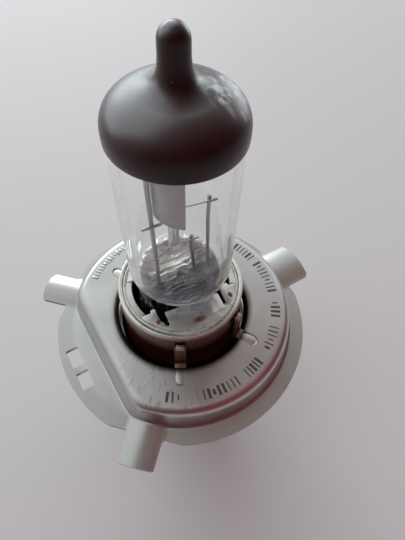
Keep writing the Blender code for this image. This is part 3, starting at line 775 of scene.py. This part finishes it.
def make_marks():
    """Generic marks that spell nothing: an arc of etched strokes, and a row of raised ones."""
    random.seed(4)
    dark = Surface("etched_mark", (0.10, 0.08, 0.07), 0.6, 0.2).material
    bm = bmesh.new()
    for start, end in MARK_GROUPS:
        steps = max(1, round(abs(end - start) / MARK_STEP))
        for k in range(steps + 1):
            angle = start + (end - start) * k / steps
            tall = MARK_HEIGHT * random.choice((1.0, 1.0, 0.55))
            wide = random.choice((0.2, 0.24, 0.42))
            radial = polar(1, angle, 0) - point(0, 0, 0)
            across = Vector((-radial.y, radial.x, 0))
            centre = polar(MARK_RADIUS, angle, BOSS_HEIGHT + MARK_LIFT)
            corners = [centre + radial * u * tall / 2 + across * v * wide / 2
                       for u, v in oblong(1, 1)]
            bm.faces.new([bm.verts.new(corner) for corner in corners])
    add_piece("etched_marks", outward_mesh("etched_marks", bm), dark, None)

    raised = []
    for k in range(RAISED_COUNT):
        tall = random.choice((1.1, 1.1, 0.6)) / 2
        half = random.choice((0.11, 0.11, 0.22))
        outward = Matrix.Translation((RAISED_RADIUS * MM, 0, BOSS_HEIGHT * MM))
        place = turned_place(RAISED_START + RAISED_STEP * k) @ outward
        raised.append(extruded("mark", oblong(tall, half), 0.01, 0.09, place, bevel=0.04))
    row = joined(raised, "raised_marks")
    row.materials.clear()
    add_piece("raised_marks", row, STAINLESS, None)


# ---------------------------------------------------------------- sleeve and holder
def make_sleeve():
    """The sleeve, with its lip rolled in to meet the cup."""
    outer, inner, lip = SLEEVE_RADIUS, SLEEVE_RADIUS - 0.4, CUP_RADIUS + 0.05
    corners = [(lip, SLEEVE_TOP - 0.1), (lip + 0.3, SLEEVE_TOP), (outer, SLEEVE_TOP),
               (outer, SLEEVE_BOTTOM), (inner, SLEEVE_BOTTOM), (inner, SLEEVE_TOP - 0.9),
               (lip, SLEEVE_TOP - 0.9)]
    outline = rounded(corners, [0.08, 0.2, 0.3, 0.05, 0.05, 0.1, 0.05])
    add_piece("sleeve_ring", lathe("sleeve_ring", outline, 200), NICKEL, "sleeve")


def clamp_outline():
    """A spring plate in plan: a broad middle prong and two narrow ones, on the -Y side."""
    outline = [(-6.42, -PLATE_SHOULDER), (-6.35, -2.8), (-5.68, -2.8), (-5.6, -5.1), (-5.22, -5.5)]
    outline += arc((-4.85, -6.0), 0.36, 180, 360, 8)
    outline += [(-4.45, -3.95), (4.24, -3.95)]
    outline += arc((4.5, -6.2), 0.24, 180, 360, 8)
    outline += [(4.76, -5.0), (4.85, -3.4), (5.1, -2.8), (6.35, -2.8), (6.42, -PLATE_SHOULDER)]
    edge = math.degrees(math.asin(PLATE_SHOULDER / PLATE_REACH))
    outline += arc((0, 0), PLATE_REACH, -edge, edge - 180, 40)
    return [(x + CLAMP_SHIFT, y) if abs(x) < 7 else (x, y) for x, y in outline]


def make_holder():
    """The cup nested in the sleeve: a rim, and a flat ring with seats for the spring plates."""
    outer, inner, mouth = CUP_RADIUS, CUP_RADIUS - 0.35, 7.65
    top, bottom = CLAMP_Z + PLATE_SHEET - 0.01, CLAMP_Z - 0.4
    corners = [(outer, CUP_TOP), (outer, bottom), (mouth, bottom), (mouth, top), (inner, top),
               (inner, CUP_TOP)]
    outline = rounded(corners, [0.16, 0.4, 0.05, 0.1, 0.2, 0.16])
    cup = new_object("holder_ring", lathe("holder_ring", outline))
    edge = math.degrees(math.asin(PLATE_SHOULDER / SEAT_REACH))
    seat = arc((0, 0), SEAT_REACH, -edge, edge - 180, 48)
    seat += arc((0, 0), 7.0, edge - 180, -edge, 40)
    for angle in (CLAMP_TURN, 180 + CLAMP_TURN):
        carve(cup, extruded("seat", seat, CLAMP_Z - 0.02, CLAMP_Z + 2, turned_place(angle)))
    add_piece("holder_ring", bare_mesh(cup), CUP_STEEL, "holder_cup")


def make_clamp_springs():
    """The two pressed spring plates, each with its welds."""
    welds = ((0.15, -7.0, 0.95, 0.42), (-5.7, -5.05, 0.32, 0.5), (6.2, -4.95, 0.32, 0.5))
    top = CLAMP_Z + PLATE_SHEET
    for side, angle in (("front", CLAMP_TURN), ("back", 180 + CLAMP_TURN)):
        name = f"{side}_clamp"
        plate = extruded(name, clamp_outline(), CLAMP_Z, top, turned_place(angle), bevel=0.06,
                         bevel_steps=3)
        plate.materials.append(CLAMP_STEEL)
        spots = [weld_spot(x, y, top, long, wide, angle) for x, y, long, wide in welds]
        add_piece(name, joined([plate] + spots, name), None, f"clamp_spring_{side}", smooth=35)


def weld_spot(x, y, z, long, wide, angle):
    """A raised weld, long by wide, turned with its plate."""
    bm = bmesh.new()
    spin = Matrix.Rotation(math.radians(angle), 4, "Z")
    rings = []
    for reach, lift in ((0.0, 0.30), (0.4, 0.27), (0.75, 0.16), (1.0, 0.0)):
        count = WELD_SIDES if reach else 1
        row = []
        for k in range(count):
            turn = 2 * math.pi * k / count
            flat = spin @ Vector((x + long * reach * math.cos(turn),
                                  y + wide * reach * math.sin(turn), 0))
            row.append(bm.verts.new(point(flat.x, flat.y, z + lift * wide + 0.004)))
        rings.append(row)
    for here, there in zip(rings, rings[1:]):
        bridge(bm, here, there)
    mesh = outward_mesh("weld", bm)
    mesh.materials.append(WELD)
    return mesh


# ---------------------------------------------------------------- glass
def dome_arc(radius, height, count):
    points = []
    for i in range(1, count + 1):
        angle = math.radians(90 * i / count)
        points.append((radius * math.sin(angle) ** (2 / DOME_POWER),
                       DOME_BASE + height * max(0.0, math.cos(angle)) ** (2 / DOME_POWER)))
    return points


def tip_and_dome(offset, top, edge):
    """Dome and tip from the top down: the tip flares smoothly into the dome."""
    radius, height = GLASS_RADIUS + offset, DOME_HEIGHT + offset
    dome_top = DOME_BASE + height
    tip = TIP_RADIUS + offset
    outline = [(0.0, top)]
    outline += [(tip * math.sin(math.radians(a)), top - tip * (1 - math.cos(math.radians(a))))
                for a in range(10, 91, 10)]
    flare = ((0.02, 2.6), (0.12, 1.7), (0.32, 1.0), (0.66, 0.45), (1.2, 0.06), (1.9, -0.22))
    outline += [(tip + out, dome_top + up) for out, up in flare]
    outline += [p for p in dome_arc(radius, height, 40) if p[0] > tip + 2.4]
    outline.append((radius, edge))
    return outline


def ease(value, low, high):
    """0 below low, 1 above high, and smooth between them."""
    t = min(1.0, max(0.0, (value - low) / (high - low)))
    return t * t * (3 - 2 * t)


def cavity_floor(r, angle, radius):
    """The trough's floor: a collar round each post, rings in front and ridges at the back."""
    x, y = r * math.cos(angle), r * math.sin(angle)
    slope = FRONT_SLOPE if y < 0 else BACK_SLOPE
    height = TROUGH + slope * (math.sqrt(y * y + TROUGH_SOFTNESS ** 2) - TROUGH_SOFTNESS)
    for foot in POST_FEET:
        height += COLLAR_HEIGHT * math.exp(-((x - foot) ** 2 + y * y) / COLLAR_SPREAD)
    if y < RIDGE_REACH[0]:
        height += RING_HEIGHT * math.sin(2 * math.pi * r / RING_STEP) * ease(r, *RING_REACH)
    else:
        wander = 0.6 * math.sin(x * 1.3)
        wave = math.sin(2 * math.pi * y / RIDGE_STEP + wander)
        height += RIDGE_HEIGHT * wave * ease(y, *RIDGE_REACH)
    into = r - (radius - FLOOR_CORNER)
    if into > 0:
        height += FLOOR_CORNER - math.sqrt(max(0.0, FLOOR_CORNER * FLOOR_CORNER - into * into))
    return height


def cavity_mesh():
    """The inside of the tube. Its floor is a shallow trough along X, where it was pinched."""
    segments = 160
    radius = GLASS_RADIUS - WALL
    bm = bmesh.new()
    outline = [(0.0, DOME_BASE + DOME_HEIGHT - WALL)] + dome_arc(radius, DOME_HEIGHT - WALL, 16)
    outline += [(radius, z) for z in (34, 28, 22)]
    rings = [ring(bm, r, z, segments) for r, z in outline]
    flat = radius - FLOOR_CORNER
    reaches = [flat + FLOOR_CORNER * math.sin(math.radians(a)) for a in range(90, -1, -10)]
    reaches += [flat * k / 36 for k in range(35, -1, -1)]
    for r in reaches:
        rings.append([bm.verts.new(polar(r, 360 * i / segments,
                                         cavity_floor(r, 2 * math.pi * i / segments, radius)))
                      for i in range(segments)])
    for here, there in zip(rings, rings[1:]):
        bridge(bm, here, there)
    bmesh.ops.remove_doubles(bm, verts=bm.verts, dist=1e-7)
    return outward_mesh("cavity", bm)


def make_glass():
    """The quartz tube: its outer skin, the press below, and the cavity cut from them."""
    centre, level = GLASS_RADIUS - GLASS_SHOULDER, GLASS_BOTTOM + GLASS_SHOULDER
    outer = tip_and_dome(0.0, GLASS_TIP, DOME_BASE - 2)
    outer += [(GLASS_RADIUS, z) for z in (36, 30, 24, level + 1)]
    for degrees in range(5, 91, 5):
        a = math.radians(degrees)
        outer.append((centre + GLASS_SHOULDER * math.cos(a), level - GLASS_SHOULDER * math.sin(a)))
    outer.append((0.0, GLASS_BOTTOM))
    glass = new_object("glass_tube", lathe("glass_tube", outer))
    press = rounded(oblong(6.5, 2.0), 0.8)
    carve(glass, extruded("press", press, PRESS_BOTTOM, GLASS_BOTTOM + 0.9, bevel=0.4), "UNION")
    carve(glass, cavity_mesh())
    tube = add_piece("glass_tube", bare_mesh(glass), QUARTZ, "glass_envelope", smooth=40)


def make_coating():
    """A thin skin over the dome and the tip, with its lower edge rolled in to the glass."""
    outline = tip_and_dome(COAT_RADIUS - GLASS_RADIUS, COAT_TIP, DOME_BASE - 0.2)
    outline += [(COAT_RADIUS - 0.02, COAT_EDGE + 0.25), (COAT_RADIUS - 0.1, COAT_EDGE + 0.06),
                (GLASS_RADIUS + COAT_GAP, COAT_EDGE)]
    outline += tip_and_dome(COAT_GAP, GLASS_TIP + COAT_GAP, COAT_EDGE)[::-1]
    return add_piece("dome_coating", lathe("dome_coating", outline), COATING, "top_coating",
                     smooth=60)


# ---------------------------------------------------------------- posts, filaments and shield
def make_posts():
    """The posts lean slightly, from where the glass holds them up to their tops."""
    tops = (("common_post", COMMON_X, 38.0), ("high_beam_post", HIGH_X, 22.6),
            ("low_beam_post", LOW_X, 29.0))
    for foot, (name, top, height) in zip(POST_FEET, tops):
        path = [(foot, 0, POST_BOTTOM), (foot, 0, POST_BOTTOM + 0.6),
                (top, 0, height * 0.75 + 3.5), (top, 0, height - 0.12), (top, 0, height)]
        radii = [POST_WIRE] * 4 + [0.2]
        add_piece(f"{name}_wire", pipe(name, path, radii, 20), MOLYBDENUM, name)


def coil(bottom, top):
    count = COIL_TURNS * COIL_SIDES
    path = []
    for i in range(count + 1):
        turn = 2 * math.pi * i / COIL_SIDES
        path.append((COIL_X + COIL_RADIUS * math.cos(turn), COIL_RADIUS * math.sin(turn),
                     bottom + (top - bottom) * i / count))
    return path


def make_filaments():
    for beam, span in (("high", HIGH_COIL), ("low", LOW_COIL)):
        add_piece(f"{beam}_filament_coil", pipe("coil", coil(*span), COIL_WIRE, 8),
                  TUNGSTEN, f"{beam}_beam_filament")


def make_crossbars():
    """Short bars welded across the posts, each drawn out into the filament's thin tail."""
    bars = (
        ("high_beam_upper_crossbar", 0.2, 17,
         [(-5.2, BAR_Y, 28.25), (-4.0, BAR_Y, 28.15), (-2.7, BAR_Y, 28.05), (-2.0, BAR_Y, 27.9),
          (-1.5, -0.7, 27.3), (-0.9, -0.66, 27.6)]),
        ("high_beam_lower_crossbar", 0.17, 17,
         [(HIGH_X + 0.85, BAR_Y, 22.25), (HIGH_X, BAR_Y, 22.3), (HIGH_X - 0.8, BAR_Y, 22.35),
          (0.1, -0.3, 22.4), (COIL_X + COIL_RADIUS, 0, 22.2)]),
        ("low_beam_lower_crossbar", 0.2, 15,
         [(5.6, BAR_Y, 28.2), (LOW_X, BAR_Y, 28.45), (3.6, BAR_Y, 28.65), (0.9, BAR_Y, 29.3),
          (0.2, -0.4, 29.5), (-0.1, 0, 29.8)]),
        ("low_beam_upper_crossbar", 0.18, 12,
         [(COMMON_X + 0.3, 0.5, 36.2), (-2, 0.3, 36.2), (-0.9, 0, 35.8), (-0.2, 0, 35.2)]),
    )
    for name, thick, thick_points, points in bars:
        path = smooth_path(points)
        radii = [thick] * thick_points + [TAIL_RADIUS] * (len(path) - thick_points)
        add_piece(name + "_rod", pipe("bar", path, radii, 12), MOLYBDENUM, name)


def make_shield():
    """The glare shield: half a cup, domed at its upper end, its lower edge cut at a slant."""
    walls = 7
    bm = bmesh.new()
    rows = []
    for j in range(16):
        row = []
        for degrees in range(84, 277, 6):
            back = math.cos(math.radians(degrees - 180))
            low = SHIELD_LOW + SHIELD_SLANT * max(0.0, back) ** 0.8
            if j <= walls:
                scale, z = 1.0, low + (SHIELD_TOP - low) * j / walls
            else:
                lift = math.radians(10 * (j - walls))
                scale, z = math.cos(lift), SHIELD_TOP + SHIELD_DOME * math.sin(lift)
            turn = math.radians(degrees)
            row.append(bm.verts.new(point(SHIELD_X + SHIELD_RADIUS * scale * math.cos(turn),
                                          SHIELD_RADIUS * scale * math.sin(turn), z)))
        rows.append(row)
    for here, there in zip(rows, rows[1:]):
        bridge(bm, here, there, closed=False)
    shield = outward_mesh("shield", bm)
    thicken(add_piece("half_cup_shield", shield, SHIELD_METAL, "glare_shield"), SHIELD_SHEET, 0)


def make_foils():
    """Thin foils in the press, slightly rippled along their length."""
    for name in ("common", "high_beam", "low_beam"):
        low, high = extent(f"{name}_foil")
        middle, size = (low + high) / 2, high - low
        bm = bmesh.new()
        bmesh.ops.create_grid(bm, x_segments=4, y_segments=40, size=0.5)
        for vert in bm.verts:
            u, v = vert.co.x, vert.co.y
            ripple = FOIL_RIPPLE * math.sin(v * 60)
            vert.co = point(middle.x + u * size.x, ripple, middle.z + v * size.z)
        foil = outward_mesh(name, bm)
        thicken(add_piece(f"{name}_foil_sheet", foil, MOLYBDENUM, f"{name}_foil"), FOIL_SHEET)


# ---------------------------------------------------------------- base
def make_base():
    """The can under the flange, with a shallow bead round it and a mouth for the insulator."""
    low, high = extent("base_shell")
    radius, top, bottom = high.x, high.z, low.z
    body, mouth = radius - 0.5, 9.3
    corners = [(body - 0.4, top), (radius, top), (radius, top - 0.5), (body, top - 1.1),
               (body, -5.0), (body - 0.35, -5.5), (body, -6.0), (body, bottom), (mouth, bottom),
               (mouth, bottom + 0.4), (body - 0.45, bottom + 0.6)]
    outline = rounded(corners, [0.1, 0.2, 0.15, 0.3, 0.3, 0.3, 0.3, 0.7, 0.1, 0.1, 0.3])
    add_piece("base_can", lathe("base_can", outline), SHELL_STEEL, "base_shell")


def restyle_nodes():
    """CAD nodes whose shape is right keep it, with a better material."""
    materials = {"terminal_insulator": INSULATOR}
    for name in ("high_beam", "common", "low_beam"):
        materials[f"{name}_blade"] = TIN
        materials[f"{name}_lead"] = MOLYBDENUM
    for name, material in materials.items():
        node = frame["nodes"][name]
        node.data.materials.clear()
        node.data.materials.append(material)


# ---------------------------------------------------------------- stage, light and camera
def make_stage():
    bm = bmesh.new()
    bmesh.ops.create_grid(bm, x_segments=1, y_segments=1, size=2)
    floor = new_object("floor", to_mesh("floor", bm))
    floor.location.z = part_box("low_beam_blade")[0].z
    floor.data.materials.append(Surface("pale_floor", (0.84, 0.83, 0.83), 0.6).material)


def heading(azimuth, elevation):
    """A direction from its angle around the bulb axis and its height above the floor."""
    a, e = math.radians(azimuth), math.radians(elevation)
    return Vector((math.cos(e) * math.cos(a), math.cos(e) * math.sin(a), math.sin(e)))


def make_world():
    """A soft room: pale beyond the bulb, dark red on the viewer's side, dim near overhead."""
    world = bpy.data.worlds.new("room")
    bpy.context.scene.world = world
    world.use_nodes = True
    tree = world.node_tree
    background = tree.nodes["Background"]
    coords = tree.nodes.new("ShaderNodeTexCoord")

    def glow(direction, inner, outer):
        """1 within inner degrees of a direction, and 0 beyond outer degrees."""
        dot = tree.nodes.new("ShaderNodeVectorMath")
        dot.operation = "DOT_PRODUCT"
        feed(tree, dot.inputs[0], coords.outputs["Generated"])
        dot.inputs[1].default_value = direction.normalized()
        fade = tree.nodes.new("ShaderNodeMapRange")
        fade.interpolation_type = "SMOOTHSTEP"
        feed(tree, fade.inputs["Value"], dot.outputs["Value"])
        fade.inputs["From Min"].default_value = math.cos(math.radians(outer))
        fade.inputs["From Max"].default_value = math.cos(math.radians(inner))
        return fade.outputs["Result"]

    room = (0.10, 0.035, 0.035)
    for direction, inner, outer, colour in (
            (heading(-70, 20), 20, 60, (0.21, 0.05, 0.06)),
            (heading(100, 28), 30, 105, (0.78, 0.83, 0.86)),
            (heading(30, 22), 6, 28, (0.95, 1.0, 1.05)),
            (heading(15, 74), 10, 27, (0.28, 0.21, 0.19))):
        room = mix_colours(tree, glow(direction, inner, outer), room, colour)
    feed(tree, background.inputs["Color"], room)
    background.inputs["Strength"].default_value = 1.0


def add_light(name, direction, aim, size, power, colour, only=None):
    """A soft rectangular light. aim and size are in metres. only limits it to one piece."""
    data = bpy.data.lights.new(name, "AREA")
    data.shape = "RECTANGLE"
    data.size, data.size_y = size
    data.energy = power
    data.color = colour
    light = new_object(name, data)
    light.location = direction * LIGHT_DISTANCE
    light.rotation_euler = (Vector(aim) - light.location).to_track_quat("-Z", "Y").to_euler()
    if only:
        receivers = bpy.data.collections.new(name + "_receivers")
        receivers.objects.link(only)
        light.light_linking.receiver_collection = receivers


def make_lights(coating):
    """A window beyond the bulb, and two sheens that light only the coating."""
    add_light("window", heading(80, 27), (0, 0, 0.02), (0.42, 0.22), 1.25,
              (0.90, 0.97, 1.0))
    add_light("sheen", heading(104, 46), (0, 0, 0.07), (1.0, 0.85), 13.0,
              (0.80, 0.95, 1.0), only=coating)
    add_light("side_sheen", heading(25, 8), (0, 0, 0.07), (0.38, 0.38), 2.0,
              (0.88, 0.97, 1.0), only=coating)


def make_camera():
    """Looks down at 55 degrees, from the side between the flat of the boss and a narrow lug."""
    forward = Vector((0.311337, 0.477438, -0.821658))
    up = Vector((0.410453, 0.712261, 0.569397))
    right = forward.cross(up)
    data = bpy.data.cameras.new("camera")
    data.sensor_width = 36
    data.lens = 28.7145
    data.clip_start = 0.001
    camera = new_object("camera", data)
    axes = Matrix((right, up, -forward)).transposed().to_4x4()
    camera.matrix_world = Matrix.Translation(point(-17.259, -32.537, 68.025)) @ axes
    bpy.context.scene.camera = camera


make_flange()
make_marks()
make_sleeve()
make_holder()
make_clamp_springs()
make_glass()
cap = make_coating()
make_posts()
make_filaments()
make_crossbars()
make_shield()
make_foils()
make_base()
restyle_nodes()
make_stage()
make_world()
make_lights(cap)
bpy.context.scene.view_settings.view_transform = "Standard"
make_camera()
